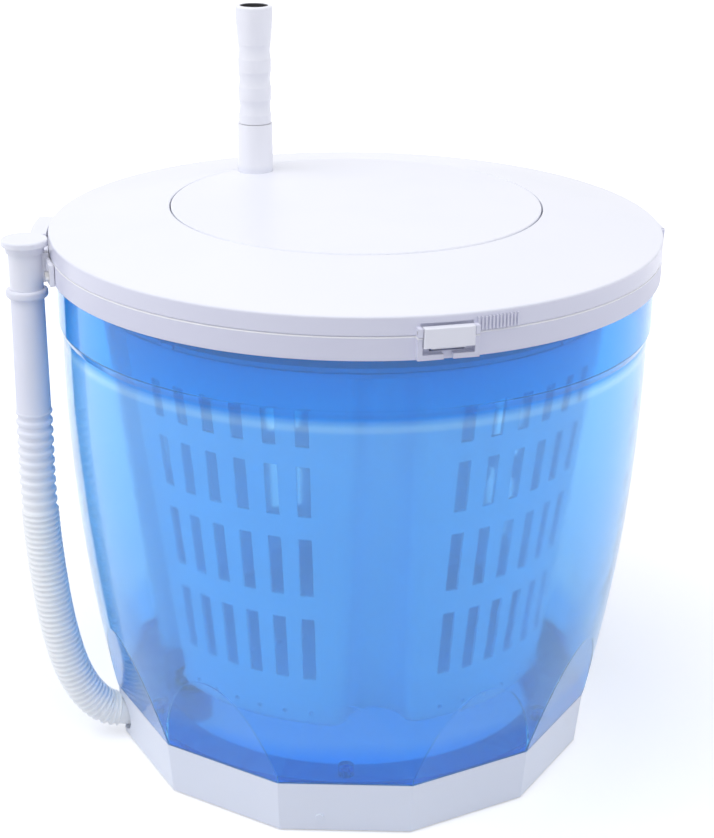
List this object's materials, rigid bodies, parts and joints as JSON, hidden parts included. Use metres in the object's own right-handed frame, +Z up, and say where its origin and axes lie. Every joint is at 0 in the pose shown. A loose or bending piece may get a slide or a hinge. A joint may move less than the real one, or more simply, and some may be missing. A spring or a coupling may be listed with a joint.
{
  "type": "manual washing machine",
  "caption": "Hand-cranked countertop washing machine: see-through round tub with a perforated basket, a hinged lid with a crank and latches, and a ribbed drain hose at its side.",
  "frame": {"origin": "on the ground, on the axis of the tub and the basket", "axes": "+Z up along the axis that the basket and the crank turn about, -Y towards the front that the picture shows, +X to its right"},
  "size_m": [0.3803, 0.3566, 0.4369],
  "materials": {
    "white_plastic": "smooth moulded",
    "pale_plastic": "smooth moulded",
    "clear_blue_plastic": "see-through, smooth moulded",
    "blue_plastic": "lightly see-through, smooth moulded",
    "hose_plastic": "satin, ribbed",
    "gear_plastic": "natural",
    "bush_plastic": "natural",
    "steel": "bright",
    "soft_rubber": "matte"
  },
  "bodies": {
    "root": {"base_ring": "pale_plastic", "rubber_feet": "soft_rubber", "base_screws": "steel", "base_plug": "pale_plastic", "outer_tub": "clear_blue_plastic", "tub_rim": "pale_plastic", "lid_gasket": "soft_rubber", "pivot_pin": "steel", "drain_elbow": "pale_plastic", "drain_seal": "soft_rubber", "drain_nut": "pale_plastic", "hose_clamp": "steel", "drain_hose": "hose_plastic", "hose_end_fitting": "pale_plastic", "hose_bracket": "white_plastic", "bracket_screws": "steel", "hinge_pin": "steel"},
    "lid": {"lid_shell": "white_plastic", "inner_shell": "pale_plastic", "inner_shell_screws": "steel", "hub_bush": "bush_plastic", "planet_pins": "steel", "planet_clips": "steel", "latch_pins": "steel"},
    "crank": {"crank_disc": "white_plastic", "ring_gear": "gear_plastic", "ring_gear_screws": "steel", "handle_spindle": "steel", "spindle_nut": "steel", "grip_washer": "steel", "grip_screw": "steel"},
    "grip": {"handle_grip": "white_plastic"},
    "planet_1": {"planet_gear_1": "gear_plastic"},
    "planet_2": {"planet_gear_2": "gear_plastic"},
    "planet_3": {"planet_gear_3": "gear_plastic"},
    "drive": {"drive_shaft": "steel", "sun_gear": "gear_plastic", "basket_cover": "blue_plastic", "cover_screw": "steel"},
    "basket": {"basket": "blue_plastic", "basket_bush": "bush_plastic"},
    "front_latch": {"front_latch": "white_plastic"},
    "side_latch": {"side_latch": "white_plastic"},
    "hose_cap": {"hose_cap": "white_plastic"}
  },
  "joints": [
    {"name": "lid_hinge", "type": "hinge", "parent": "root", "child": "lid", "pos_m": [-0.13164, 0.12712, 0.316], "axis": [-0.6947, -0.7193, 0], "range_deg": [0, 100]},
    {"name": "crank_spin", "type": "hinge", "parent": "lid", "child": "crank", "pos_m": [0, 0, 0.33], "axis": [0, 0, 1], "continuous": true},
    {"name": "grip_spin", "type": "hinge", "parent": "crank", "child": "grip", "pos_m": [-0.06374, 0.07179, 0.4], "axis": [0, 0, 1], "continuous": true},
    {"name": "planet_1_spin", "type": "hinge", "parent": "lid", "child": "planet_1", "pos_m": [0.048, 0, 0.317], "axis": [0, 0, 1], "continuous": true},
    {"name": "planet_2_spin", "type": "hinge", "parent": "lid", "child": "planet_2", "pos_m": [-0.024, 0.04157, 0.317], "axis": [0, 0, 1], "continuous": true},
    {"name": "planet_3_spin", "type": "hinge", "parent": "lid", "child": "planet_3", "pos_m": [-0.024, -0.04157, 0.317], "axis": [0, 0, 1], "continuous": true},
    {"name": "drive_spin", "type": "hinge", "parent": "lid", "child": "drive", "pos_m": [0, 0, 0.31], "axis": [0, 0, 1], "continuous": true},
    {"name": "basket_spin", "type": "hinge", "parent": "root", "child": "basket", "pos_m": [0, 0, 0.07], "axis": [0, 0, 1], "continuous": true},
    {"name": "front_latch_swing", "type": "hinge", "parent": "lid", "child": "front_latch", "pos_m": [0.0495, -0.17264, 0.3163], "axis": [-0.9613, -0.2756, 0], "range_deg": [0, 60]},
    {"name": "side_latch_swing", "type": "hinge", "parent": "lid", "child": "side_latch", "pos_m": [0.17739, 0.0281, 0.3163], "axis": [0.1564, -0.9877, 0], "range_deg": [0, 60]},
    {"name": "hose_cap_pull", "type": "slide", "parent": "root", "child": "hose_cap", "axis": [0, 0, 1], "range_m": [0, 0.03]}
  ],
  "couplings": [
    {"joint": "planet_1_spin", "follows": "crank_spin", "ratio": 3},
    {"joint": "planet_2_spin", "follows": "crank_spin", "ratio": 3},
    {"joint": "planet_3_spin", "follows": "crank_spin", "ratio": 3},
    {"joint": "drive_spin", "follows": "crank_spin", "ratio": -3},
    {"joint": "basket_spin", "follows": "crank_spin", "ratio": -3}
  ]
}
